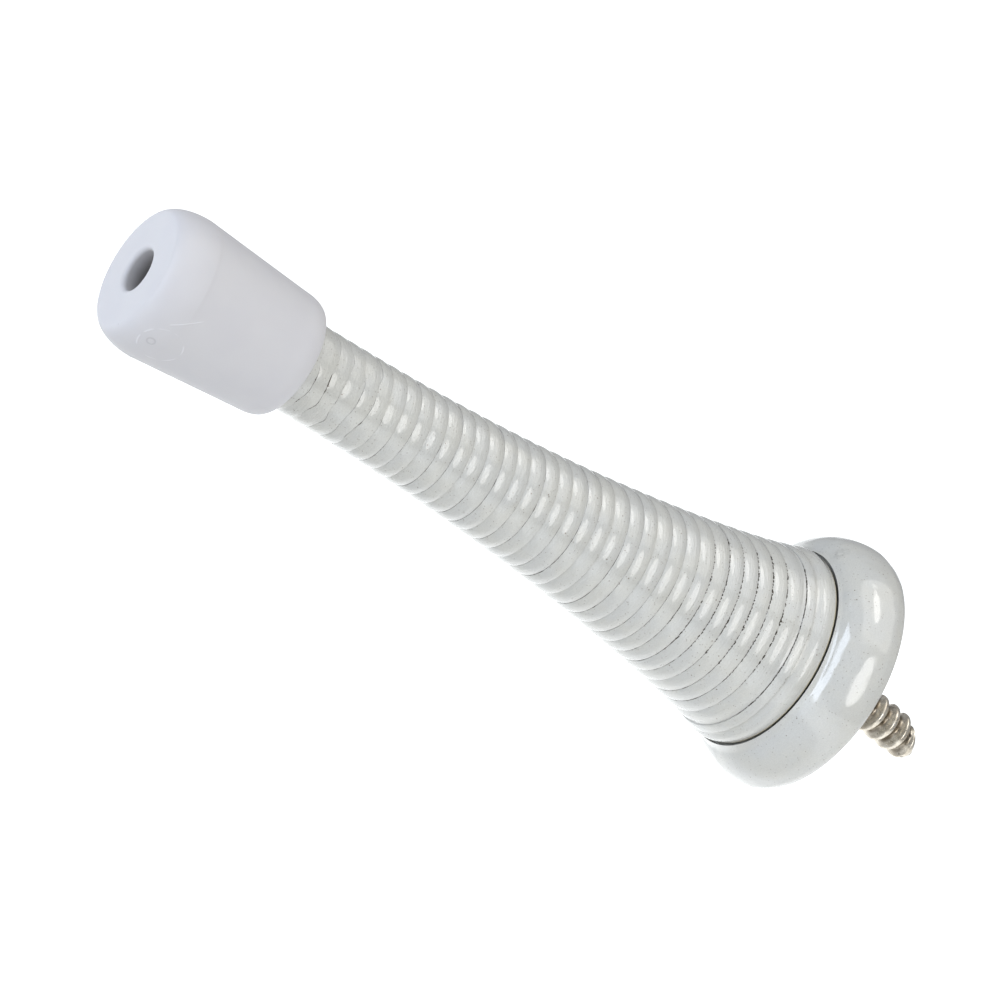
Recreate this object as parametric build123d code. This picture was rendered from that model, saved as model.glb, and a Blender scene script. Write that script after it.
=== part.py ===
from build123d import *
import math
import os

# Spring door stop, in the position it has on a skirting board: the wall is the plane y = 0,
# the stop stands out along -Y and +Z is up. Every piece is turned about an axis parallel to Y.
# A profile point is (distance from the axis, height above the wall).

OVERALL = 79.4
SPRING_DROP = 0.6

BUMPER_LENGTH = 16.5
BUMPER_FRONT_RADIUS = 7.03
BUMPER_BACK_RADIUS = 5.74
FRONT_ROUND_DEPTH = 3.5
FRONT_ROUND_WIDTH = 1.4
BACK_ROUND_DEPTH = 2.0
BACK_ROUND_WIDTH = 0.7
VENT_RADIUS = 1.98
VENT_EDGE_ROUND = 0.45
SOCKET_CLEARANCE = 0.1

WIRE_DIAMETER = 1.5
PITCH = 1.55
TURNS_PER_STRETCH = (1, 1, 2, 3, 4, 5, 6, 10, 12)
SPRING_FOOT_HEIGHT = 5.94
LAST_COIL_HEIGHT = 6.8
TIP_COIL_RADIUS = 4.2
FLARE_WIDTH = 5.4
FLARE_POWER = 2.2
LAST_COIL_WIDTH = 0.7
LAST_COIL_POWER = 20

FLANGE_RADIUS = 12.6
FLANGE_BACK_RADIUS = 12.25
FLANGE_HEIGHT = 5.8
RIM_ROUND_WIDTH = 3.3
RIM_ROUND_HEIGHT = 4.6
BACK_RELIEF_RADIUS = 9.0
BACK_RELIEF_DEPTH = 1.2
SEAT_GAP = 0.15
SEAT_FLOOR_GAP = 0.05

ANCHOR_SHANK_RADIUS = 4.0
ANCHOR_TAIL_RADIUS = 5.6
ANCHOR_TAIL_BOTTOM = 0.2
ANCHOR_CONE_BASE_RADIUS = 8.5
ANCHOR_CONE_TOP_RADIUS = 6.7
ANCHOR_TOP_HEIGHT = 12.5

SCREW_RADIUS = 2.05
SCREW_ROOT_RADIUS = 1.4
SCREW_PROJECTION = 14.4
THREAD_PITCH = 1.55
THREAD_START = 1.2
SCREW_TIP_LENGTH = 3.6
SCREW_HEAD_RADIUS = 3.9
SCREW_HEAD_TOP = 12.2
SCREW_HEAD_EDGE = 0.5
SCREW_SLOT_WIDTH = 1.0
SCREW_SLOT_DEPTH = 1.2

BUMPER_BACK_HEIGHT = OVERALL - BUMPER_LENGTH
SPRING_TURNS = sum(TURNS_PER_STRETCH)
SPRING_TIP_HEIGHT = SPRING_FOOT_HEIGHT + SPRING_TURNS * PITCH
SOCKET_RADIUS = TIP_COIL_RADIUS + SOCKET_CLEARANCE
SOCKET_FLOOR = SPRING_TIP_HEIGHT + WIRE_DIAMETER / 2 + SOCKET_CLEARANCE
SEAT_FLOOR = SPRING_FOOT_HEIGHT - WIRE_DIAMETER / 2 - SEAT_FLOOR_GAP


def coil_outer_radius(height):
    """The tip's radius, plus a flare that grows as a power of the way down to the last coil."""
    way_down = (BUMPER_BACK_HEIGHT - height) / (BUMPER_BACK_HEIGHT - LAST_COIL_HEIGHT)
    way_down = min(max(way_down, 0.0), 1.0)
    flare = FLARE_WIDTH * way_down**FLARE_POWER
    last_coil = LAST_COIL_WIDTH * way_down**LAST_COIL_POWER
    return TIP_COIL_RADIUS + flare + last_coil


SEAT_RADIUS = coil_outer_radius(LAST_COIL_HEIGHT) + SEAT_GAP


def at(radius, height):
    """A profile point, in the plane z = 0, where the wall's outward direction is -Y."""
    return (radius, -height)


def turned(outline, drop=0.0):
    """Turns a closed outline about the Y axis and lowers it by drop."""
    face = make_face(outline)
    return Pos(0, 0, -drop) * revolve(face, axis=Axis.Y)


def quarter_ellipse(center, x_radius, y_radius, start):
    """A quarter of an ellipse, turning anticlockwise from the start angle."""
    return EllipticalCenterArc(center, x_radius, y_radius, start_angle=start, arc_size=90)


def bumper():
    """The push-on soft cap: a tapered barrel with rounded ends, a vent hole and a blind socket."""
    taper = (BUMPER_FRONT_RADIUS - BUMPER_BACK_RADIUS) / BUMPER_LENGTH
    front_side_radius = BUMPER_FRONT_RADIUS - taper * FRONT_ROUND_DEPTH
    back_side_radius = BUMPER_BACK_RADIUS + taper * BACK_ROUND_DEPTH
    front_round_height = OVERALL - FRONT_ROUND_DEPTH
    back_round_height = BUMPER_BACK_HEIGHT + BACK_ROUND_DEPTH
    front_flat_radius = front_side_radius - FRONT_ROUND_WIDTH
    back_flat_radius = back_side_radius - BACK_ROUND_WIDTH
    vent_edge_radius = VENT_RADIUS + VENT_EDGE_ROUND
    vent_edge_height = OVERALL - VENT_EDGE_ROUND
    outline = [
        Line(at(vent_edge_radius, OVERALL), at(front_flat_radius, OVERALL)),
        quarter_ellipse(at(front_flat_radius, front_round_height),
                        FRONT_ROUND_WIDTH, FRONT_ROUND_DEPTH, -90),
        Line(at(front_side_radius, front_round_height), at(back_side_radius, back_round_height)),
        quarter_ellipse(at(back_flat_radius, back_round_height),
                        BACK_ROUND_WIDTH, BACK_ROUND_DEPTH, 0),
        Line(at(back_flat_radius, BUMPER_BACK_HEIGHT), at(SOCKET_RADIUS, BUMPER_BACK_HEIGHT)),
        Line(at(SOCKET_RADIUS, BUMPER_BACK_HEIGHT), at(SOCKET_RADIUS, SOCKET_FLOOR)),
        Line(at(SOCKET_RADIUS, SOCKET_FLOOR), at(VENT_RADIUS, SOCKET_FLOOR)),
        Line(at(VENT_RADIUS, SOCKET_FLOOR), at(VENT_RADIUS, vent_edge_height)),
        quarter_ellipse(at(vent_edge_radius, vent_edge_height),
                        VENT_EDGE_ROUND, VENT_EDGE_ROUND, 180),
    ]
    return turned(outline, SPRING_DROP)


def spring_stretch(foot_height, turns):
    """A right-handed run of whole turns on a cone, from the foot height outwards."""
    length = turns * PITCH
    foot_radius = coil_outer_radius(foot_height) - WIRE_DIAMETER / 2
    top_radius = coil_outer_radius(foot_height + length) - WIRE_DIAMETER / 2
    lean = math.atan2(top_radius - foot_radius, length)
    return Edge.make_helix(
        pitch=PITCH / math.cos(lean),
        height=length,
        radius=foot_radius,
        center=(0, 0, foot_height),
        angle=math.degrees(lean),
    )


def spring():
    """One close-wound round wire, straight inside the bumper and flared towards the wall."""
    stretches = []
    foot_height = SPRING_FOOT_HEIGHT
    for turns in TURNS_PER_STRETCH:
        stretches.append(spring_stretch(foot_height, turns))
        foot_height += turns * PITCH
    path = Wire(stretches)
    section = Plane(origin=path @ 0, z_dir=path % 0) * Circle(WIRE_DIAMETER / 2)
    wire = sweep(section, path=path, is_frenet=True)
    return Pos(0, 0, -SPRING_DROP) * Rot(90, 0, 0) * Rot(0, 0, 180) * wire


def base_flange():
    """The round foot: a domed rim, a flat back with a shallow relief and a seat for the spring."""
    rim_height = FLANGE_HEIGHT - RIM_ROUND_HEIGHT
    face_radius = FLANGE_RADIUS - RIM_ROUND_WIDTH
    outline = [
        Line(at(ANCHOR_SHANK_RADIUS, FLANGE_HEIGHT), at(face_radius, FLANGE_HEIGHT)),
        quarter_ellipse(at(face_radius, rim_height), RIM_ROUND_WIDTH, RIM_ROUND_HEIGHT, -90),
        Line(at(FLANGE_RADIUS, rim_height), at(FLANGE_BACK_RADIUS, 0)),
        Line(at(FLANGE_BACK_RADIUS, 0), at(BACK_RELIEF_RADIUS, 0)),
        Line(at(BACK_RELIEF_RADIUS, 0), at(BACK_RELIEF_RADIUS, BACK_RELIEF_DEPTH)),
        Line(at(BACK_RELIEF_RADIUS, BACK_RELIEF_DEPTH), at(ANCHOR_SHANK_RADIUS, BACK_RELIEF_DEPTH)),
        Line(at(ANCHOR_SHANK_RADIUS, BACK_RELIEF_DEPTH), at(ANCHOR_SHANK_RADIUS, FLANGE_HEIGHT)),
    ]
    seat_depth = 2 * (FLANGE_HEIGHT - SEAT_FLOOR)
    seat = Pos(0, -SEAT_FLOOR - seat_depth / 2, -SPRING_DROP) * Rot(90, 0, 0)
    return turned(outline) - seat * Cylinder(SEAT_RADIUS, seat_depth)


def screw_outline():
    """Half the screw's section: head, countersink, plain shank, ridges at the thread's pitch, point."""
    cone_top = SCREW_HEAD_TOP - SCREW_HEAD_EDGE
    cone_foot = cone_top - (SCREW_HEAD_RADIUS - SCREW_RADIUS)
    points = [
        at(0, SCREW_HEAD_TOP),
        at(SCREW_HEAD_RADIUS, SCREW_HEAD_TOP),
        at(SCREW_HEAD_RADIUS, cone_top),
        at(SCREW_RADIUS, cone_foot),
        at(SCREW_RADIUS, -THREAD_START),
    ]
    depth = THREAD_START
    while depth + THREAD_PITCH < SCREW_PROJECTION:
        points.append(at(screw_radius_at(depth + THREAD_PITCH / 3, SCREW_ROOT_RADIUS),
                         -depth - THREAD_PITCH / 3))
        points.append(at(screw_radius_at(depth + 2 * THREAD_PITCH / 3, SCREW_ROOT_RADIUS),
                         -depth - 2 * THREAD_PITCH / 3))
        points.append(at(screw_radius_at(depth + THREAD_PITCH, SCREW_RADIUS), -depth - THREAD_PITCH))
        depth += THREAD_PITCH
    points.append(at(0, -SCREW_PROJECTION))
    return points


def screw_radius_at(depth, full_radius):
    """The full radius along the thread, shrinking evenly to nothing over the point."""
    left = (SCREW_PROJECTION - depth) / SCREW_TIP_LENGTH
    return full_radius * min(left, 1.0)


def wood_screw():
    """The steel screw that fixes the stop to the wall, with a slotted countersunk head."""
    body = revolve(make_face(Polyline(*screw_outline(), close=True)), axis=Axis.Y)
    slot = Box(2 * SCREW_HEAD_RADIUS, 2 * SCREW_SLOT_DEPTH, SCREW_SLOT_WIDTH)
    return body - Pos(0, -SCREW_HEAD_TOP, 0) * slot


def spring_anchor():
    """The tapered plug inside the spring's wide end, swaged over behind the flange."""
    cone = turned(Polyline(
        at(0, SEAT_FLOOR),
        at(ANCHOR_CONE_BASE_RADIUS, SEAT_FLOOR),
        at(ANCHOR_CONE_BASE_RADIUS, LAST_COIL_HEIGHT),
        at(ANCHOR_CONE_TOP_RADIUS, ANCHOR_TOP_HEIGHT),
        at(0, ANCHOR_TOP_HEIGHT),
        close=True,
    ), SPRING_DROP)
    shank = turned(Polyline(
        at(0, ANCHOR_TAIL_BOTTOM),
        at(ANCHOR_TAIL_RADIUS, ANCHOR_TAIL_BOTTOM),
        at(ANCHOR_TAIL_RADIUS, BACK_RELIEF_DEPTH),
        at(ANCHOR_SHANK_RADIUS, BACK_RELIEF_DEPTH),
        at(ANCHOR_SHANK_RADIUS, LAST_COIL_HEIGHT),
        at(0, LAST_COIL_HEIGHT),
        close=True,
    ))
    cone_top = SCREW_HEAD_TOP - SCREW_HEAD_EDGE
    cone_foot = cone_top - (SCREW_HEAD_RADIUS - SCREW_RADIUS)
    screw_way = turned(Polyline(
        at(0, ANCHOR_TOP_HEIGHT),
        at(SCREW_HEAD_RADIUS, ANCHOR_TOP_HEIGHT),
        at(SCREW_HEAD_RADIUS, cone_top),
        at(SCREW_RADIUS, cone_foot),
        at(SCREW_RADIUS, 0),
        at(0, 0),
        close=True,
    ))
    return cone + shank - screw_way


os.makedirs("parts", exist_ok=True)
for make in (bumper, spring, base_flange, spring_anchor, wood_screw):
    shape = make()
    export_step(shape, f"parts/{make.__name__}.step")
    box = shape.bounding_box()
    print(make.__name__, len(shape.solids()), "solid", round(shape.volume, 1), "mm3", box.min, box.max)
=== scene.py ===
# %% [markdown]
# # A spring door stop
# The part is already designed and packed: every piece has its place, size and joint. This lesson
# gives it its looks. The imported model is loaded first, and it stays as the frame that each new
# surface is fitted to.

# %% Load the frame
import math

import bpy
import numpy as np
from mathutils import Matrix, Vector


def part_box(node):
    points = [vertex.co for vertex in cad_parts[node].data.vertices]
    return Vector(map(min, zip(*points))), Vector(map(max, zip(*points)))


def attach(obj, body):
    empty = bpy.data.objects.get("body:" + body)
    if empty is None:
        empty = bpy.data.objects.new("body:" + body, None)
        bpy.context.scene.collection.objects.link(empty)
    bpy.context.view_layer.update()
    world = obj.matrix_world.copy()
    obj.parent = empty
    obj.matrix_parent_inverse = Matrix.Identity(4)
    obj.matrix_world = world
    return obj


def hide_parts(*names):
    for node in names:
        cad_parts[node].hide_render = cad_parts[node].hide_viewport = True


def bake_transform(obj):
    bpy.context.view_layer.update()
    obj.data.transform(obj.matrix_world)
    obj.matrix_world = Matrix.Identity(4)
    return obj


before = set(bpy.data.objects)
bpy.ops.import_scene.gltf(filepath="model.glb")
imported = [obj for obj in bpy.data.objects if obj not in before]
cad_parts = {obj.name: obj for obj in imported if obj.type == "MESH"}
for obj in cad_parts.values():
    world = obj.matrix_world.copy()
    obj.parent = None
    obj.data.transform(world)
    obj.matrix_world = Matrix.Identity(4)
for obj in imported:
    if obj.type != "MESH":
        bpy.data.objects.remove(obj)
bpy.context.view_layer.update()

# %% [markdown]
# ## Sizes
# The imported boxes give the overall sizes. What they can't give, such as the wire and how the
# spring flares, is named here in millimetres, as a maker would read it off a drawing. Heights are
# measured out from the wall, so a point's Y is minus its height.

# %% The driving sizes, in millimetres
MM = 0.001
bumper_low, bumper_high = (np.array(corner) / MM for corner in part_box("bumper"))
flange_high = np.array(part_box("base_flange")[1]) / MM
screw_low, screw_high = (np.array(corner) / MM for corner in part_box("wood_screw"))

OVERALL = -bumper_low[1]
BUMPER_BACK = -bumper_high[1]
SPRING_AXIS_Z = (bumper_low[2] + bumper_high[2]) / 2
WIRE = 1.5
PITCH = 1.55
TURNS = 44
SPRING_FOOT = 5.94
LAST_COIL = 6.8
TIP_RADIUS = 4.25
FLARE, FLARE_POWER = 5.35, 2.2
FOOT_FLARE, FOOT_FLARE_POWER = 0.4, 20
SAG = 0.12
print("overall", round(OVERALL, 2), "bumper back at", round(BUMPER_BACK, 2))


# %% How wide the coils are
def coil_outer_radius(height):
    """The tip's radius plus two powers of the way down from the bumper to the last coil: a long
    flare, and a short one at the foot."""
    way_down = np.clip((BUMPER_BACK - height) / (BUMPER_BACK - LAST_COIL), 0, 1)
    return TIP_RADIUS + FLARE * way_down**FLARE_POWER + FOOT_FLARE * way_down**FOOT_FLARE_POWER


print("radius at the last coil:", round(float(coil_outer_radius(LAST_COIL)), 2))


# %% [markdown]
# ## One way to make every surface
# Each piece is a grid of points: a function of two parameters, worked out for the whole grid at
# once. One helper turns such a grid into a mesh, joins it to itself where it closes, and fans a
# cap over an open end.

# %% From a grid of points to a mesh
def surface(name, points, close_rows=False, cap_ends=False):
    """A mesh whose quads join point (i, j) to its neighbours. Columns always close on themselves;
    rows close too if asked, or each end row gets a fan of triangles to its middle."""
    rows, columns = points.shape[:2]
    index = np.arange(rows * columns).reshape(rows, columns)
    across = np.roll(index, -1, axis=1)
    if close_rows:
        quads = np.stack([index, across, np.roll(across, -1, 0), np.roll(index, -1, 0)], -1)
    else:
        quads = np.stack([index[:-1], across[:-1], across[1:], index[1:]], -1)
    faces = quads.reshape(-1, 4).tolist()
    vertices = points.reshape(-1, 3)
    if cap_ends:
        first, last = rows * columns, rows * columns + 1
        vertices = np.vstack([vertices, points[0].mean(0), points[-1].mean(0)])
        faces += np.stack([across[0], index[0], np.full(columns, first)], -1).tolist()
        faces += np.stack([index[-1], across[-1], np.full(columns, last)], -1).tolist()
    mesh = bpy.data.meshes.new(name)
    mesh.from_pydata((vertices * MM).tolist(), [], faces)
    mesh.shade_smooth()
    piece = bpy.data.objects.new(name, mesh)
    bpy.context.collection.objects.link(piece)
    print(name, len(vertices), "points", len(faces), "faces")
    return piece


def turned(name, profile, segments=256, axis_z=0.0):
    """Turns a closed profile of (radius, height) about an axis parallel to Y: each point goes
    round at its own radius."""
    angle = np.linspace(0, 2 * math.pi, segments, endpoint=False)
    radius, height = profile[:, :1], profile[:, 1:]
    x = radius * np.cos(angle)
    y = -height + 0 * angle
    z = radius * np.sin(angle) + axis_z
    return surface(name, np.stack([x, y, z], -1), close_rows=True)


def quarter_ellipse(centre, half_width, half_height, start_degrees, steps):
    """Points on a quarter of an ellipse, turning from the start angle towards larger angles."""
    angle = np.radians(np.linspace(start_degrees, start_degrees + 90, steps))
    return np.stack([centre[0] + half_width * np.cos(angle),
                     centre[1] + half_height * np.sin(angle)], -1)


def straight(start, end, steps):
    """Evenly spaced points between two profile points, without the two ends."""
    share = np.linspace(0, 1, steps + 2)[1:-1, None]
    return np.array(start) + share * (np.array(end) - np.array(start))


def add_values(piece, name, values):
    """Stores one number per point, for a material to read as an attribute."""
    attribute = piece.data.attributes.new(name, "FLOAT", "POINT")
    attribute.data.foreach_set("value", values.astype(np.float32).ravel())


# %% [markdown]
# ## Smooth random waves
# Paint is never even. A few sines of whole-number frequency with seeded random phases give a
# number that drifts smoothly along the wire, and comes out the same on every run.

# %% A drifting number
def drift(position, seed, waves=9, lowest=0.15, highest=2.2):
    """A sum of sines of random frequency and phase, scaled to about -1 to 1."""
    random = np.random.default_rng(seed)
    frequency = random.uniform(lowest, highest, waves)
    phase = random.uniform(0, 2 * math.pi, waves)
    total = sum(np.sin(2 * math.pi * f * position + p) for f, p in zip(frequency, phase))
    return total / math.sqrt(waves / 2)


# %% [markdown]
# ## The spring
# The real piece is one steel wire, wound so tightly that the paint bridges its turns: from outside
# it is a row of shallow waves with a hairline crack in each valley. A round wire swept along a
# helix would show deep grooves, so the section here is the painted one: a shallow crown outside,
# a small shoulder at each crack, and the round of the bare wire inside.

# %% The painted section's sizes
STEPS_PER_TURN = 72
CROWN_POINTS, INSIDE_POINTS = 15, 8
CROWN_POWER, CROWDING = 1.9, 2.4
CRACK_HALF_WIDTH = 0.002
SHOULDER = 0.008
INSIDE_START = 0.35
VALLEY_BY_BUMPER, VALLEY_ON_FLARE, VALLEY_FADE = 0.03, 0.14, 16
FOOT_HEIGHT, FOOT_TILT = 5.68, 0.16


def valley_depth(height):
    """Shallow where the paint is thick near the bumper, deepest along the flare."""
    share = np.clip((BUMPER_BACK + 1 - height) / VALLEY_FADE, 0, 1)
    return VALLEY_BY_BUMPER + (VALLEY_ON_FLARE - VALLEY_BY_BUMPER) * share


def foot_edge(angle):
    """The height of the painted foot's edge, just over the flange's lip."""
    return FOOT_HEIGHT + FOOT_TILT * np.sin(angle)


# %% [markdown]
# A crack doesn't keep to the middle of its valley. It drifts a little everywhere, wanders in long
# and short waves where the paint is thick, from a few turns below the bumper up, and the two
# lowest cracks lie closer together than one pitch.

# %% How the cracks wander
WANDER, LONG_WANDER, SHORT_WANDER = 0.035, 0.17, 0.05
THICK_FROM_TURN, THICK_TO_TURN = 29, 40
LOWEST_CRACKS, LOWEST_SHIFT = (0.56, 1.56), 0.35


def crack_wander(turn):
    """How far the crack above a turn is from the valley's middle, in mm along the axis: drifts
    added up, the long and short waves only in the thick paint, and a smooth step either way for
    the lowest two."""
    rise, fall = (turn - THICK_FROM_TURN) / 3, (THICK_TO_TURN - turn) / 2
    thick_paint = np.clip(rise, 0, 1) * np.clip(fall, 0, 1)
    wander = WANDER * drift(turn, 11, highest=1.4)
    wander = wander + thick_paint * LONG_WANDER * drift(turn, 12, lowest=2.0, highest=5.0)
    wander = wander + thick_paint * SHORT_WANDER * drift(turn, 13, lowest=7.0, highest=13.0)
    first, second = (np.exp(-((turn - middle) / 0.5) ** 4) for middle in LOWEST_CRACKS)
    return wander + LOWEST_SHIFT * (first - second)


def crack_edges(turn, angle, centre):
    """Where a turn's painted section starts and ends along the axis, measured from its middle.
    The lowest turn starts at the painted foot's edge instead."""
    top_edge = PITCH / 2 - CRACK_HALF_WIDTH + crack_wander(turn)
    low_edge = -PITCH / 2 + CRACK_HALF_WIDTH + crack_wander(turn - 1)
    foot = np.minimum(low_edge, foot_edge(angle) - centre)
    lowest_turn = np.clip((1.02 - turn) / 0.02, 0, 1)
    return low_edge + (foot - low_edge) * lowest_turn, top_edge


# %% The section, carried along the helix
def crown(centre, low_edge, top_edge):
    """The painted outside: points crowded towards both cracks, at a radius that falls away from
    the envelope with nearly the square of the offset, and rounded off beside each crack."""
    even = np.linspace(-1, 1, CROWN_POINTS)[None, :]
    share = 0.5 + 0.5 * np.sign(even) * (1 - (1 - np.abs(even)) ** CROWDING)
    offset = low_edge + share * (top_edge - low_edge)
    from_edge = np.minimum(offset - low_edge, top_edge - offset)
    wave = valley_depth(centre) * np.minimum(np.abs(2 * offset / PITCH) ** CROWN_POWER, 1.05)
    inward = np.clip(SHOULDER - from_edge, 0, SHOULDER)
    shoulder = SHOULDER - np.sqrt(SHOULDER**2 - inward**2)
    return offset, coil_outer_radius(centre + offset) - wave - shoulder, from_edge


def bare_inside(centre, low_edge, top_edge):
    """The inside of the wire: half an ellipse from one edge of the crown to the other."""
    round_angle = np.linspace(0, math.pi, INSIDE_POINTS + 2)[None, 1:-1]
    half_width = (top_edge - low_edge) / 2 - SHOULDER / 2
    offset = (top_edge + low_edge) / 2 + half_width * np.cos(round_angle)
    depth = INSIDE_START + (WIRE - INSIDE_START) * np.sin(round_angle)
    return offset, coil_outer_radius(centre) - depth


def spring_points():
    """For each step along the wire, a ring of points: the crown, then the inside. Between its
    two ends the spring sags by half a sine wave."""
    turn = np.linspace(0, TURNS, TURNS * STEPS_PER_TURN + 1)[:, None]
    angle = math.pi + 2 * math.pi * turn
    centre = SPRING_FOOT + PITCH * turn
    low_edge, top_edge = crack_edges(turn, angle, centre)
    crown_offset, crown_radius, from_edge = crown(centre, low_edge, top_edge)
    inside_offset, inside_radius = bare_inside(centre, low_edge, top_edge)
    radius = np.hstack([crown_radius, inside_radius])
    across = np.hstack([crown_offset, inside_offset])
    height = centre + across
    way_up = np.clip((height - SPRING_FOOT) / (BUMPER_BACK - SPRING_FOOT), 0, 1)
    x = radius * np.cos(angle)
    z = radius * np.sin(angle) + SPRING_AXIS_Z - SAG * np.sin(math.pi * way_up)
    edge_distance = np.hstack([from_edge, np.zeros_like(inside_offset)])
    return np.stack([x, -height, z], -1), edge_distance, across, across - low_edge, turn


points, edge_distance, across, foot_distance, turn = spring_points()
spring = surface("spring_wire", points[:, ::-1], cap_ends=True)


def spring_values(per_row):
    """Spreads a value per step over its ring, and gives the two end caps the last one."""
    grid = (per_row + np.zeros(points.shape[:2]))[:, ::-1]
    return np.append(grid.ravel(), [grid[0, 0], grid[-1, 0]])


add_values(spring, "from_crack", spring_values(edge_distance))
add_values(spring, "across", spring_values(across))
add_values(spring, "turn", spring_values(turn))
print("spring reaches", round(float(np.abs(points[..., 0]).max()), 2), "mm from its axis")

# %% [markdown]
# ### Where the paint has cracked
# Cracks aren't everywhere. The widest grooves near the foot are open in rows of dots on the sides
# where the spring is bent most, and thin out round the back; the middle shows only hairlines;
# and the thick paint under the bumper has a few long wavy ones. Two numbers per point hold this,
# one for dots and one for lines, and the material draws them.

# %% Dots and lines, as numbers on the spring
CRACKED_SIDE = 20
LOWEST_PAIR, FOOT_ROWS, MIDDLE_ROWS, TOP_ROWS = (6.5, 9.8), (10.2, 19.5), (19, 53), (56, 63)


def between(value, start, end, soft):
    """1 from start to end, falling smoothly to 0 over the soft width outside them."""
    rise = np.clip((value - start) / soft + 1, 0, 1)
    fall = np.clip((end - value) / soft + 1, 0, 1)
    share = rise * fall
    return share * share * (3 - 2 * share)


def place_round(groove):
    """The angle round the spring in degrees, from the side that cracks most. It is folded, so
    that the far side cracks too."""
    place = (CRACKED_SIDE - 360 * groove) % 360 - 180
    folded = place - np.sign(place) * 180 + CRACKED_SIDE
    return np.where(np.abs(place) > 90, folded, place)


def crack_values():
    """Each half of a turn belongs to the groove beside it: its height and its place round the
    spring say how much it is cracked."""
    groove = turn + np.where(across < 0, -1.0, 0.0)
    height = SPRING_FOOT + PITCH * (groove + 0.5)
    place = place_round(groove)
    lowest_pair = between(height, *LOWEST_PAIR, 0.4)
    foot_rows = between(height, *FOOT_ROWS, 1.6)
    middle_rows = between(height, *MIDDLE_ROWS, 4)
    top_rows = between(height, *TOP_ROWS, 2.5)
    uneven = 0.75 + 0.35 * drift(groove, 21, lowest=0.5, highest=2.5)
    broken = 1.0 + 0.22 * drift(groove, 23, lowest=0.5, highest=3.0)
    few = drift(groove, 22, lowest=2, highest=6) > 1.0
    dots = (foot_rows * between(place, -56, 26, 12) * broken
            + 0.35 * lowest_pair * between(place, -20, 35, 8)
            + 0.8 * top_rows * between(place, 5, 45, 8) * few)
    lines = (0.55 * foot_rows * between(place, 12, 70, 18)
             + 0.19 * lowest_pair * between(place, -60, 40, 6)
             + 0.36 * middle_rows * between(place, 0, 60, 20) * uneven
             + 0.9 * top_rows * between(place, -8, 46, 10) * uneven)
    return dots, lines


dotted, lined = crack_values()
add_values(spring, "dotted", spring_values(dotted))
add_values(spring, "lined", spring_values(lined))
at_foot = between(turn, -1, 1, 0.02) * between(foot_distance, -1, 0.05, 0.09)
add_values(spring, "foot_edge", spring_values(at_foot))
print("share of the spring with dots:", round(float((dotted > 0.3).mean()), 3))


# %% [markdown]
# ## The bumper
# A soft cap, moulded in one piece: a tapered barrel with a generous round at the front, a small
# one at the back, a vent hole and a blind socket for the spring. It is a profile turned about the
# spring's axis.

# %% Turn the bumper
FRONT_RADIUS, BACK_RADIUS = 7.03, 5.74
VENT_RADIUS, VENT_ROUND = 1.98, 0.45
FRONT_ROUND, BACK_ROUND = np.array([1.4, 3.5]), np.array([0.7, 2.0])
SOCKET_GAP = 0.1
SOCKET_RADIUS = TIP_RADIUS + SOCKET_GAP
SOCKET_FLOOR = SPRING_FOOT + TURNS * PITCH + WIRE / 2 + SOCKET_GAP


def bumper_profile():
    """The section, once round: face, front round, tapered side, back round, socket, vent hole."""
    taper = (FRONT_RADIUS - BACK_RADIUS) / (OVERALL - BUMPER_BACK)
    front_side = FRONT_RADIUS - taper * FRONT_ROUND[1]
    back_side = BACK_RADIUS + taper * BACK_ROUND[1]
    front_centre = (front_side - FRONT_ROUND[0], OVERALL - FRONT_ROUND[1])
    back_centre = (back_side - BACK_ROUND[0], BUMPER_BACK + BACK_ROUND[1])
    vent_centre = (VENT_RADIUS + VENT_ROUND, OVERALL - VENT_ROUND)
    return np.vstack([
        straight((vent_centre[0], OVERALL), (front_centre[0], OVERALL), 10),
        quarter_ellipse(front_centre, *FRONT_ROUND, 0, 26)[::-1],
        straight((front_side, front_centre[1]), (back_side, back_centre[1]), 24),
        quarter_ellipse(back_centre, *BACK_ROUND, -90, 18)[::-1],
        straight((back_centre[0], BUMPER_BACK), (SOCKET_RADIUS, BUMPER_BACK), 2),
        [(SOCKET_RADIUS + 0.05, BUMPER_BACK), (SOCKET_RADIUS, BUMPER_BACK + 0.05)],
        straight((SOCKET_RADIUS, BUMPER_BACK), (SOCKET_RADIUS, SOCKET_FLOOR), 10),
        [(SOCKET_RADIUS, SOCKET_FLOOR - 0.05), (SOCKET_RADIUS - 0.05, SOCKET_FLOOR)],
        straight((SOCKET_RADIUS, SOCKET_FLOOR), (VENT_RADIUS, SOCKET_FLOOR), 4),
        [(VENT_RADIUS + 0.05, SOCKET_FLOOR), (VENT_RADIUS, SOCKET_FLOOR + 0.05)],
        straight((VENT_RADIUS, SOCKET_FLOOR), (VENT_RADIUS, vent_centre[1]), 6),
        quarter_ellipse(vent_centre, VENT_ROUND, VENT_ROUND, 90, 8)[::-1],
    ])


bumper_section = bumper_profile()[::-1]
bumper = turned("bumper_cap", bumper_section, axis_z=SPRING_AXIS_Z)
# How deep each point lies in the vent hole; the vinyl darkens with it as painted shade.
in_vent = bumper_section[:, 0] < VENT_RADIUS + VENT_ROUND / 2
vent_depth = np.where(in_vent, OVERALL - bumper_section[:, 1], 0.0)
segments = len(bumper.data.vertices) // len(vent_depth)
add_values(bumper, "vent_depth", np.repeat(vent_depth, segments))

# %% [markdown]
# ## The flange
# A round foot with a thick rolled rim. The spring stands in a shallow seat a little below the
# flange's centre, so the seat's edge is a circle that is off centre: the surface is a grid in
# which every column starts at its own distance from the middle.

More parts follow.
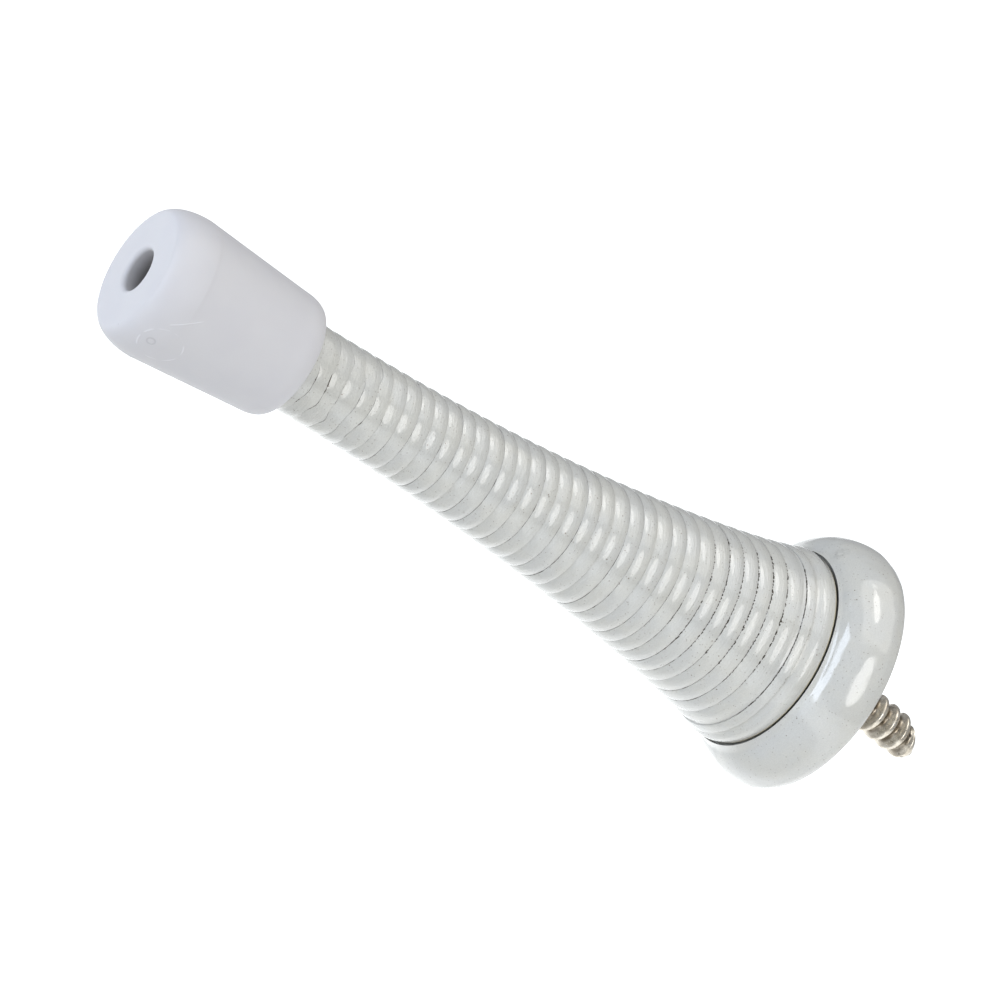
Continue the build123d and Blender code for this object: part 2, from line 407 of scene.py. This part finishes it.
# %% Turn the flange around its off-centre seat
FLANGE_RADIUS = flange_high[0]
FLANGE_BACK_RADIUS = 12.35
RIM_ROUND = np.array([3.3, 4.6])
FACE_HEIGHT = 5.65
FACE_LEAN = 0.4
RIM_HEIGHT = FACE_HEIGHT - RIM_ROUND[1]
FACE_RADIUS = FLANGE_RADIUS - RIM_ROUND[0]
SEAT_RADIUS = float(coil_outer_radius(LAST_COIL)) + 0.035
SEAT_FLOOR = SPRING_FOOT - WIRE / 2 - 0.05
SHANK_RADIUS, RELIEF_RADIUS, RELIEF_DEPTH = 4.0, 9.0, 1.2
EDGE, STEP_EDGE = 0.06, 0.1
LIP_WIDTH, LIP_GAP, LIP_GAP_CHANGE = 0.45, 0.03, 0.02


def flange_points(segments=320):
    """Rows run from the shank hole over the seat and the rim to the back. The seat's edge lies at
    the distance from the flange's centre to the seat's circle in each direction. The rim is a
    quarter of an ellipse, a little lower on its lower side, with a small lip up to the spring."""
    angle = np.linspace(0, 2 * math.pi, segments, endpoint=False)[None, :]
    sideways = SPRING_AXIS_Z * np.sin(angle)
    seat = sideways + np.sqrt(sideways**2 + SEAT_RADIUS**2 - SPRING_AXIS_Z**2)
    start = np.arcsin(np.clip((seat + EDGE - FACE_RADIUS) / RIM_ROUND[0], 0, 1))
    share = np.linspace(0, 1, 56)[:, None] ** 1.4
    sweep = start + share * (math.pi / 2 - start)
    dome_radius = FACE_RADIUS + RIM_ROUND[0] * np.sin(sweep)
    dome_height = RIM_HEIGHT + RIM_ROUND[1] * np.cos(sweep) - FACE_LEAN * (1 - np.sin(angle)) / 2
    lip = np.clip(1 - (dome_radius - dome_radius[:1]) / LIP_WIDTH, 0, 1) ** 2
    lip_gap = LIP_GAP + LIP_GAP_CHANGE * np.sin(angle)
    dome_height = dome_height + lip * (foot_edge(angle) - lip_gap - dome_height[:1])
    edge_angle = np.linspace(0, math.pi / 2, 6)[:-1, None]
    edge_radius = dome_radius[:1] - EDGE * np.cos(edge_angle)
    edge_height = dome_height[:1] - EDGE + EDGE * np.sin(edge_angle)

    def ring(radius, height):
        return np.stack([radius + 0 * angle, height + 0 * angle], -1)

    rows = [
        ring(SHANK_RADIUS, SEAT_FLOOR),
        ring(seat - STEP_EDGE, SEAT_FLOOR),
        ring(seat, SEAT_FLOOR + STEP_EDGE),
        np.stack([edge_radius, edge_height], -1),
        np.stack([dome_radius, dome_height], -1),
        ring(FLANGE_BACK_RADIUS + 0.08, 0.35),
        ring(FLANGE_BACK_RADIUS + 0.02, 0.08),
        ring(FLANGE_BACK_RADIUS - 0.08, 0.0),
        ring(RELIEF_RADIUS + STEP_EDGE, 0.0),
        ring(RELIEF_RADIUS, STEP_EDGE),
        ring(RELIEF_RADIUS, RELIEF_DEPTH - STEP_EDGE),
        ring(RELIEF_RADIUS - STEP_EDGE, RELIEF_DEPTH),
        ring(SHANK_RADIUS, RELIEF_DEPTH),
    ]
    profile = np.vstack(rows)
    radius, height = profile[..., 0], profile[..., 1]
    return np.stack([radius * np.cos(angle), -height, radius * np.sin(angle)], -1)


flange = surface("flange_foot", flange_points()[:, ::-1], close_rows=True)

# %% [markdown]
# ## The screw
# A thread can be seen as a cylinder whose radius depends on where you are round it and along it:
# the crest climbs by one pitch a turn. So the screw is a height field over angle and length, with
# a plain shank under the head and a point at the far end.

# %% Cut the screw as a height field
SCREW_RADIUS, ROOT_RADIUS = 2.05, 1.42
THREAD_PITCH = 1.65
SCREW_TIP = screw_high[1]
HEAD_TOP = -screw_low[1]
HEAD_RADIUS, HEAD_EDGE = 3.9, 0.5
CREST_WIDTH, CREST_POWER = 0.52, 3.6
THREAD_START, POINT_LENGTH = 0.6, 1.9
TIP_BLUNT, TIP_SHIFT, TIP_SLANT = 0.70, 1.4, 0.65
LEAN_SIDE = math.radians(20)


def thread_height(angle, depth):
    """How far up the crest a point is, from 0 in the valley to 1: a rounded ridge wherever the
    turns travelled are a whole number."""
    phase = depth / THREAD_PITCH - angle / (2 * math.pi)
    from_crest = np.abs(phase - np.round(phase)) * 2
    return 1 / (1 + (from_crest / CREST_WIDTH) ** CREST_POWER)


def screw_points(segments=128):
    """The radius is the root plus the crest's height, fading in at the shank and closing to a
    blunt point, cut off at a slant; the last few turns also lean a little to the lower side."""
    angle = np.linspace(0, 2 * math.pi, segments, endpoint=False)[None, :]
    depth = np.linspace(THREAD_START, SCREW_TIP - TIP_BLUNT, 360)[:, None]
    left = np.clip((SCREW_TIP - depth) / POINT_LENGTH, 0, 1)
    start = np.clip((depth - THREAD_START) / THREAD_PITCH, 0, 1)
    root = SCREW_RADIUS + ((ROOT_RADIUS - TIP_BLUNT) * left**0.8 + TIP_BLUNT - SCREW_RADIUS) * start
    reach = (SCREW_RADIUS - ROOT_RADIUS) * left**0.35
    radius = root + reach * thread_height(angle, depth) * start
    lean = TIP_SHIFT * np.clip(depth / SCREW_TIP, 0, 1) ** 1.6
    x = radius * np.cos(angle) + lean * math.sin(LEAN_SIDE)
    z = radius * np.sin(angle) - lean * math.cos(LEAN_SIDE)
    lower_part = math.sin(LEAN_SIDE) * np.cos(angle) - math.cos(LEAN_SIDE) * np.sin(angle)
    y = depth + TIP_SLANT * (depth / (SCREW_TIP - TIP_BLUNT)) ** 12 * lower_part
    crest = thread_height(angle, depth) * start + (1 - start)
    return np.stack([x, y, z], -1), crest


def screw_with_head():
    """The head's rings come first: flat top, edge, countersink and plain shank."""
    thread, crest = screw_points()
    segments = thread.shape[1]
    angle = np.linspace(0, 2 * math.pi, segments, endpoint=False)
    cone_top = HEAD_TOP - HEAD_EDGE
    cone_foot = cone_top - (HEAD_RADIUS - SCREW_RADIUS)
    rings = np.array([(0.3, HEAD_TOP), (HEAD_RADIUS - 0.1, HEAD_TOP), (HEAD_RADIUS, HEAD_TOP - 0.1),
                      (HEAD_RADIUS, cone_top), (SCREW_RADIUS, cone_foot), (SCREW_RADIUS, 0.0)])
    head = np.stack([rings[:, :1] * np.cos(angle), -rings[:, 1:] + 0 * angle,
                     rings[:, :1] * np.sin(angle)], -1)
    return np.vstack([head, thread]), np.vstack([np.ones(head.shape[:2]), crest])


screw_grid, screw_crest = screw_with_head()
screw = surface("screw_body", screw_grid[:, ::-1], cap_ends=True)
add_values(screw, "crest", np.append(screw_crest[:, ::-1].ravel(), [1.0, 0.6]))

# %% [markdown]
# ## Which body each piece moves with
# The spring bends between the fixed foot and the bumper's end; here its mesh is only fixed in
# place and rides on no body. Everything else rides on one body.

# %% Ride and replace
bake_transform(spring)
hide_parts("spring")
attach(bumper, "bumper")
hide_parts("bumper")
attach(flange, "base")
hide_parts("base_flange")
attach(screw, "base")
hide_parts("wood_screw")


# %% [markdown]
# ## Materials
# Three finishes: glossy off-white paint, soft white vinyl and plated steel. Each is a small node
# tree on object coordinates, so the pattern stays on the piece when it moves.

# %% Small helpers for node trees
class Shader:
    """A material's node tree, with one short call per kind of node."""

    def __init__(self, name):
        self.material = bpy.data.materials.new(name)
        self.material.use_nodes = True
        self.nodes = self.material.node_tree.nodes
        self.links = self.material.node_tree.links
        self.surface = self.nodes["Principled BSDF"]
        self.place = self.add("ShaderNodeTexCoord").outputs["Object"]

    def add(self, kind, inputs=None, **settings):
        node = self.nodes.new(kind)
        for key, value in settings.items():
            setattr(node, key, value)
        for key, value in (inputs or {}).items():
            if isinstance(value, bpy.types.NodeSocket):
                self.links.new(value, node.inputs[key])
            else:
                node.inputs[key].default_value = value
        return node

    def scaled(self, scale):
        """Object coordinates times a scale; millimetres when the scale is 1000."""
        mapping = self.add("ShaderNodeMapping", {"Vector": self.place, "Scale": scale})
        return mapping.outputs["Vector"]

    def noise(self, vector, scale=1.0, detail=2.0, roughness=0.5):
        node = self.add("ShaderNodeTexNoise", {"Vector": vector, "Scale": scale,
                                               "Detail": detail, "Roughness": roughness})
        return node.outputs["Fac"]

    def remap(self, value, low, high, to_low=0.0, to_high=1.0, smooth=True):
        node = self.add("ShaderNodeMapRange", {
            "Value": value, "From Min": low, "From Max": high, "To Min": to_low, "To Max": to_high,
        }, interpolation_type="SMOOTHSTEP" if smooth else "LINEAR")
        return node.outputs["Result"]

    def math(self, operation, first, second=0.0):
        node = self.add("ShaderNodeMath", {0: first, 1: second}, operation=operation)
        return node.outputs["Value"]

    def mix(self, share, first, second):
        node = self.add("ShaderNodeMix", data_type="RGBA")
        for socket, value in ((node.inputs[0], share), (node.inputs[6], first),
                              (node.inputs[7], second)):
            if isinstance(value, bpy.types.NodeSocket):
                self.links.new(value, socket)
            else:
                socket.default_value = value
        return node.outputs[2]

    def value(self, name):
        return self.add("ShaderNodeAttribute", attribute_name=name).outputs["Fac"]

    def bump(self, height, distance_mm, strength=1.0, normal=None):
        inputs = {"Height": height, "Distance": distance_mm * MM, "Strength": strength}
        if normal is not None:
            inputs["Normal"] = normal
        return self.add("ShaderNodeBump", inputs).outputs["Normal"]

    def connect(self, **sockets):
        for name, value in sockets.items():
            socket = self.surface.inputs[name.replace("_", " ")]
            if isinstance(value, bpy.types.NodeSocket):
                self.links.new(value, socket)
            else:
                socket.default_value = value


def rgb(red, green, blue):
    return (red, green, blue, 1.0)


# %% [markdown]
# ### Glossy paint
# The coat is thick and dipped or sprayed: nearly even, slightly warm, with a few dark pinholes
# and a faint unevenness in its gloss. On the spring it also has fine streaks along the wire, and
# the cracks: thin dark lines where the surface comes close to the edge of the painted section,
# broken up by noise.

# %% Paint
PAINT = rgb(0.605, 0.603, 0.568)
PAINT_COOL = rgb(0.59, 0.595, 0.578)
GRAIN = rgb(0.40, 0.40, 0.38)
PINHOLE = rgb(0.16, 0.12, 0.09)
CRACK = rgb(0.055, 0.045, 0.035)
YELLOWED = rgb(0.50, 0.44, 0.27)
FLANGE_DARK_PATCH = rgb(0.30, 0.29, 0.29)
DARK_PATCH_CENTRE = np.array([-1.7, -5.2, 10.6])
PAINT_ROUGHNESS, PAINT_IOR, COAT_ROUGHNESS = 0.14, 1.5, 0.025
SPRING_WAVINESS, FLANGE_WAVINESS = 0.06, 0.20


def pinholes(shader, scale, size, kept_from):
    """Dots where a cell's centre is near, kept in only some of the cells."""
    millimetres = shader.scaled((1000,) * 3)
    cells = shader.add("ShaderNodeTexVoronoi", {"Vector": millimetres, "Scale": scale})
    dot = shader.remap(cells.outputs["Distance"], size, size * 0.45)
    chance = shader.noise(cells.outputs["Position"], 0.9, 0)
    kept = shader.remap(chance, kept_from, kept_from + 0.05)
    return shader.math("MULTIPLY", dot, kept)


def crack_lines(shader, millimetres):
    """A crack's half width changes along it: fine noise breaks it into dots, slower noise only
    thins it. The paint is dark where the crack's middle is nearer than that."""
    speckle = shader.remap(shader.noise(millimetres, 4.2, 1), 0.40, 0.62)
    blobs = shader.remap(shader.noise(millimetres, 1.1, 1), 0.35, 0.75, 0.045, 0.10)
    dots = shader.math("MULTIPLY", shader.value("dotted"), shader.math("MULTIPLY", speckle, blobs))
    thinning = shader.remap(shader.noise(millimetres, 1.3, 2), 0.36, 0.72, 0.012, 0.07)
    lines = shader.math("MULTIPLY", shader.value("lined"), thinning)
    half_width = shader.math("MAXIMUM", dots, lines)
    inside = shader.math("SUBTRACT", half_width, shader.value("from_crack"))
    return shader.remap(inside, -0.006, 0.014)


def brushed_height(shader):
    """Fine streaks that run along the wire: noise stretched along the turn."""
    turn = shader.value("turn")
    along = shader.math("MULTIPLY", turn, 34.0)
    sideways = shader.math("MULTIPLY", shader.value("across"), 5.5)
    place = shader.add("ShaderNodeCombineXYZ", {"X": along, "Y": sideways, "Z": turn})
    return shader.noise(place.outputs["Vector"], 1.0, 3, 0.6)


def paint(name, cracked):
    """The coat, with the cracks and streaks of the spring or a darker patch on the flange beside
    the spring.
    """
    shader = Shader(name)
    millimetres = shader.scaled((1000,) * 3)
    cloud = shader.remap(shader.noise(millimetres, 0.35, 3), 0.35, 0.65)
    color = shader.mix(cloud, PAINT, PAINT_COOL)
    grain = shader.remap(shader.noise(millimetres, 9.0, 2), 0.3, 0.7, 0.0, 0.24)
    color = shader.mix(grain, color, GRAIN)
    dots = pinholes(shader, 1.1, 0.10, 0.50)
    color = shader.mix(shader.math("MULTIPLY", dots, 0.8), color, PINHOLE)
    specks = pinholes(shader, 2.8, 0.21, 0.42)
    color = shader.mix(shader.math("MULTIPLY", specks, 0.45), color, PINHOLE)
    normal = shader.bump(shader.noise(millimetres, 1.6, 3), 0.02, 0.5)
    waviness = SPRING_WAVINESS if cracked else FLANGE_WAVINESS
    normal = shader.bump(shader.noise(millimetres, 0.45, 1), waviness, 1.0, normal)
    if cracked:
        normal = shader.bump(brushed_height(shader), 0.075, 1.0, normal)
        color = shader.mix(shader.math("MULTIPLY", shader.value("foot_edge"), 0.8), color, YELLOWED)
        color = shader.mix(crack_lines(shader, millimetres), color, CRACK)
    else:
        # A darker patch on the flange's face beside the spring, broken up by noise.
        away = shader.add("ShaderNodeVectorMath", {0: millimetres, 1: tuple(DARK_PATCH_CENTRE)},
                          operation="DISTANCE").outputs["Value"]
        patch_breakup = shader.remap(shader.noise(millimetres, 1.8, 2), 0.36, 0.66)
        dark_patch = shader.math("MULTIPLY", shader.remap(away, 1.2, 0.2), patch_breakup)
        color = shader.mix(shader.math("MULTIPLY", dark_patch, 0.40), color, FLANGE_DARK_PATCH)
    shader.connect(Base_Color=color, Roughness=PAINT_ROUGHNESS, Normal=normal)
    shader.surface.inputs["IOR"].default_value = PAINT_IOR
    shader.surface.inputs["Coat Weight"].default_value = 1.0
    shader.surface.inputs["Coat Roughness"].default_value = COAT_ROUGHNESS
    return shader.material


spring.data.materials.append(paint("spring_paint", True))
flange.data.materials.append(paint("flange_paint", False))


# %% [markdown]
# ### Soft vinyl
# The cap is matte and cool white, with the faint marks that a mould leaves, and painted shade in
# its vent hole.

# %% Vinyl
VINYL, VINYL_LIGHT = rgb(0.605, 0.60, 0.628), rgb(0.618, 0.613, 0.636)
MARK, DIMPLE = rgb(0.80, 0.80, 0.84), rgb(0.36, 0.35, 0.38)
SPECK, VENT_SHADE = rgb(0.3, 0.3, 0.33), rgb(0.16, 0.14, 0.13)
VINYL_ROUGHNESS = 0.5
MARK_CENTRE, MARK_RADIUS = np.array([6.17, -76.04, -3.35]), 2.0
DIMPLE_CENTRE, DIMPLE_RADIUS = np.array([6.11, -76.99, -3.32]), 0.36
SEAM_START, SEAM_END = -76.7, -74.4
SEAM_HEIGHT, SEAM_RISE = 0.0, 0.75
PARTING_HEIGHT = 75.7


def ring_mark(shader, centre, radius, half_width):
    """1 on a thin ring: where the distance from its centre is close to its radius."""
    away = shader.add("ShaderNodeVectorMath", {0: shader.scaled((1000,) * 3), 1: tuple(centre)},
                      operation="DISTANCE").outputs["Value"]
    off_ring = shader.math("ABSOLUTE", shader.math("SUBTRACT", away, radius))
    return shader.remap(off_ring, half_width, half_width * 0.2)


def seam_mark(shader, across, along):
    """A short faint seam along the side: near a line that rises towards the back, and between
    two ends."""
    middle = (SEAM_START + SEAM_END) / 2
    line = shader.math("MULTIPLY", shader.math("SUBTRACT", along, middle), SEAM_RISE)
    off_line = shader.math("SUBTRACT", across, shader.math("ADD", line, SEAM_HEIGHT))
    near = shader.remap(shader.math("ABSOLUTE", off_line), 0.10, 0.02)
    ends = shader.math("MULTIPLY", shader.remap(along, SEAM_START - 0.3, SEAM_START),
                       shader.remap(along, SEAM_END, SEAM_END - 0.5))
    return shader.math("MULTIPLY", near, ends)


def vinyl(name):
    """The cap's finish: marks from the mould, a dimple, a few specks, and painted shade that
    darkens the vent hole with depth.
    """
    shader = Shader(name)
    millimetres = shader.scaled((1000,) * 3)
    axes = shader.add("ShaderNodeSeparateXYZ", {"Vector": millimetres}).outputs
    cloud = shader.remap(shader.noise(millimetres, 0.25, 2), 0.35, 0.65)
    color = shader.mix(cloud, VINYL, VINYL_LIGHT)
    faded = shader.remap(shader.noise(millimetres, 0.9, 1), 0.36, 0.6)
    ring = shader.math("MULTIPLY", ring_mark(shader, MARK_CENTRE, MARK_RADIUS, 0.10), faded)
    marks = shader.math("MAXIMUM", ring, seam_mark(shader, axes["Z"], axes["Y"]))
    color = shader.mix(shader.math("MULTIPLY", marks, 0.6), color, MARK)
    dimple = ring_mark(shader, DIMPLE_CENTRE, DIMPLE_RADIUS, 0.12)
    color = shader.mix(shader.math("MULTIPLY", dimple, 0.3), color, DIMPLE)
    specks = pinholes(shader, 0.5, 0.04, 0.5)
    color = shader.mix(shader.math("MULTIPLY", specks, 0.35), color, SPECK)
    # Painted shade: the vent hole is darkened towards its depths, where little light reaches.
    vent_shade_share = shader.remap(shader.value("vent_depth"), 0.4, 2.4)
    color = shader.mix(vent_shade_share, color, VENT_SHADE)
    fine = shader.noise(millimetres, 6.0, 3)
    normal = shader.bump(marks, 0.03, 0.6, shader.bump(fine, 0.01, 0.3))
    normal = shader.bump(dimple, -0.03, 0.6, normal)
    off_parting = shader.math("ABSOLUTE", shader.math("ADD", axes["Y"], PARTING_HEIGHT))
    normal = shader.bump(shader.remap(off_parting, 0.35, 0.0), 0.02, 0.8, normal)
    shader.connect(Base_Color=color, Roughness=VINYL_ROUGHNESS, Normal=normal)
    shader.surface.inputs["Subsurface Weight"].default_value = 0.12
    shader.surface.inputs["Subsurface Radius"].default_value = (0.0012, 0.0010, 0.0009)
    return shader.material


bumper.data.materials.append(vinyl("bumper_vinyl_matte"))


# %% [markdown]
# ### Steel
# The screw is plated, with painted dark brown shade in its thread valleys, dark spots and a fine
# unevenness.
# The anchor inside the flange is plain steel.

# %% Steel
PLATING, PLATING_DULL = rgb(0.82, 0.77, 0.68), rgb(0.60, 0.54, 0.45)
VALLEY_SHADE, SPOT = rgb(0.12, 0.092, 0.06), rgb(0.04, 0.03, 0.025)
PLAIN_STEEL, PLAIN_STEEL_DULL = rgb(0.58, 0.58, 0.58), rgb(0.45, 0.45, 0.46)


def steel(name, color_high, color_low, valleys=None):
    """Metal between two colours; a thread can also have painted shade in its valleys, and dark
    spots.
    """
    shader = Shader(name)
    millimetres = shader.scaled((1000,) * 3)
    cloud = shader.remap(shader.noise(millimetres, 1.3, 4), 0.35, 0.65)
    color = shader.mix(cloud, color_high, color_low)
    if valleys:
        # Painted shade: the thread's valleys darken towards the valley colour, in uneven patches.
        valley_shade_share = shader.remap(shader.value("crest"), 0.55, 0.05)
        shade_patchiness = shader.remap(shader.noise(millimetres, 1.1, 2), 0.3, 0.6, 0.55, 1.0)
        color = shader.mix(shader.math("MULTIPLY", valley_shade_share, shade_patchiness), color, valleys)
        spots = pinholes(shader, 1.3, 0.3, 0.55)
        color = shader.mix(shader.math("MULTIPLY", spots, 0.85), color, SPOT)
    rough = shader.remap(shader.noise(millimetres, 3.0, 3), 0.3, 0.7, 0.22, 0.42)
    fine = shader.noise(millimetres, 5.0, 3)
    shader.connect(Base_Color=color, Roughness=rough, Metallic=1.0,
                   Normal=shader.bump(fine, 0.008, 0.3))
    return shader.material


screw.data.materials.append(steel("screw_plating", PLATING, PLATING_DULL, VALLEY_SHADE))
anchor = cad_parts["spring_anchor"]
anchor_finish = steel("anchor_steel", PLAIN_STEEL, PLAIN_STEEL_DULL)
anchor.data.materials.clear()
anchor.data.materials.append(anchor_finish)

# %% [markdown]
# ## Camera
# The view looks at the stop from its side and a little from the front and above, with a long lens,
# and is turned so that the stop runs from the upper left to the lower right. The camera's axes are
# worked out from three angles: how far round the stop it stands, how far the stop's axis points
# away from it, and how far the axis is turned down in the picture.

# %% Place the camera
SIDE_ANGLE = math.radians(20)
AWAY_ANGLE = math.radians(28.9)
DOWN_ANGLE = math.radians(31.05)
LENS, SENSOR = 160.6, 36
FRONT_IN_VIEW = np.array([-30.83, -19.66, 379.1])

axis = np.array([0.0, 1.0, 0.0])
lower_side = np.array([math.sin(SIDE_ANGLE), 0.0, -math.cos(SIDE_ANGLE)])
far_side = np.cross(axis, lower_side)
along = np.array([math.cos(DOWN_ANGLE) * math.cos(AWAY_ANGLE),
                  math.sin(DOWN_ANGLE) * math.cos(AWAY_ANGLE), math.sin(AWAY_ANGLE)])
below = np.array([-math.sin(DOWN_ANGLE), math.cos(DOWN_ANGLE), 0.0])
behind = np.cross(along, below)
to_world = np.outer(axis, along) + np.outer(lower_side, below) + np.outer(far_side, behind)
right, down, forward = to_world.T
front = np.array([0.0, -OVERALL, SPRING_AXIS_Z])
eye = front - to_world @ FRONT_IN_VIEW

camera_data = bpy.data.cameras.new("camera")
camera_data.lens = LENS
camera_data.sensor_width = SENSOR
camera = bpy.data.objects.new("camera", camera_data)
bpy.context.collection.objects.link(camera)
turn_matrix = Matrix([list(row) for row in np.stack([right, -down, -forward], 1)]).to_4x4()
camera.matrix_world = Matrix.Translation((eye * MM).tolist()) @ turn_matrix
camera_data.clip_start = 0.01
bpy.context.scene.camera = camera
print("camera stands at", np.round(eye, 1), "mm")

# %% [markdown]
# ## Floor and light
# The floor is flat and glows white. It glows less in a round patch under the stop and before it,
# so that the underside isn't lit too much from below. What the camera sees of the floor lies
# beyond that patch, and is plain white.
#
# The reflections of two elliptical soft boxes make the highlights: the large one beside the
# camera gives the bright row of marks along the coils, and the one overhead gives the fainter row
# above it. A wide sky box and a cool one in front fill in the rest.

# %% Floor
FLOOR_DROP = 0.11
DIM_CENTRE = (0.09, -0.11, -FLOOR_DROP)
DIM_RADIUS, BRIGHT_RADIUS = 0.125, 0.182
DIM_GLOW, BRIGHT_GLOW = 0.06, 0.84


def white_floor(half=3.0):
    """A large square whose glow depends on the distance from the dim patch's centre."""
    mesh = bpy.data.meshes.new("floor")
    mesh.from_pydata([(-half, -half, -FLOOR_DROP), (half, -half, -FLOOR_DROP),
                      (half, half, -FLOOR_DROP), (-half, half, -FLOOR_DROP)], [], [(0, 1, 2, 3)])
    floor = bpy.data.objects.new("floor", mesh)
    bpy.context.collection.objects.link(floor)
    shader = Shader("floor_white")
    shader.connect(Base_Color=rgb(0.62, 0.62, 0.62), Roughness=1.0)
    shader.surface.inputs["Emission Color"].default_value = rgb(0.96, 0.99, 1.0)
    away = shader.add("ShaderNodeVectorMath", {0: shader.place, 1: DIM_CENTRE},
                      operation="DISTANCE").outputs["Value"]
    glow = shader.remap(away, DIM_RADIUS, BRIGHT_RADIUS, DIM_GLOW, BRIGHT_GLOW)
    shader.connect(Emission_Strength=glow)
    floor.data.materials.append(shader.material)


white_floor()


# %% Lights
MIDDLE_OF_STOP = np.array([0.0, -40.0, 0.0])
WORLD_COLOR, WORLD_STRENGTH = rgb(0.95, 0.97, 1.0), 0.345


def soft_box(name, direction, distance, width, height, power, color, shape="RECTANGLE"):
    """An area light that faces the middle of the stop. Its width lies along the stop's axis,
    unless it looks down that axis, and its height lies across."""
    centre = MIDDLE_OF_STOP * MM
    unit = direction / np.linalg.norm(direction)
    data = bpy.data.lights.new(name, "AREA")
    data.shape = shape
    data.size, data.size_y = width, height
    data.energy = power
    data.color = color
    light = bpy.data.objects.new(name, data)
    bpy.context.collection.objects.link(light)
    reference = axis if abs(np.dot(axis, unit)) < 0.8 else lower_side
    across = reference - unit * np.dot(reference, unit)
    across /= np.linalg.norm(across)
    up = np.cross(unit, across)
    turn = Matrix([list(row) for row in np.stack([across, up, unit], 1)]).to_4x4()
    light.matrix_world = Matrix.Translation((centre + unit * distance).tolist()) @ turn


camera_side = -far_side
soft_box("beside_camera", camera_side * 0.98 - lower_side * 0.17 + axis * 0.09, distance=0.6,
         width=0.27, height=0.48, power=1.12, color=(1.0, 0.99, 0.965), shape="ELLIPSE")
soft_box("overhead", camera_side * 0.27 - lower_side * 0.96, distance=0.6,
         width=0.12, height=0.32, power=0.32, color=(1.0, 0.99, 0.96), shape="ELLIPSE")
soft_box("sky", np.array([0.0, 0.0, 1.0]), distance=0.9,
         width=1.0, height=1.0, power=3.25, color=(1.0, 0.985, 0.94))
soft_box("front", camera_side * 0.16 + lower_side * 0.12 - axis * 0.95, distance=0.6,
         width=0.90, height=0.28, power=3.3, color=(0.76, 0.85, 1.0))

world = bpy.data.worlds.new("studio")
world.use_nodes = True
background = world.node_tree.nodes["Background"]
background.inputs["Color"].default_value = WORLD_COLOR
background.inputs["Strength"].default_value = WORLD_STRENGTH
bpy.context.scene.world = world
bpy.context.scene.view_settings.view_transform = "Standard"
bpy.context.scene.view_settings.look = "None"
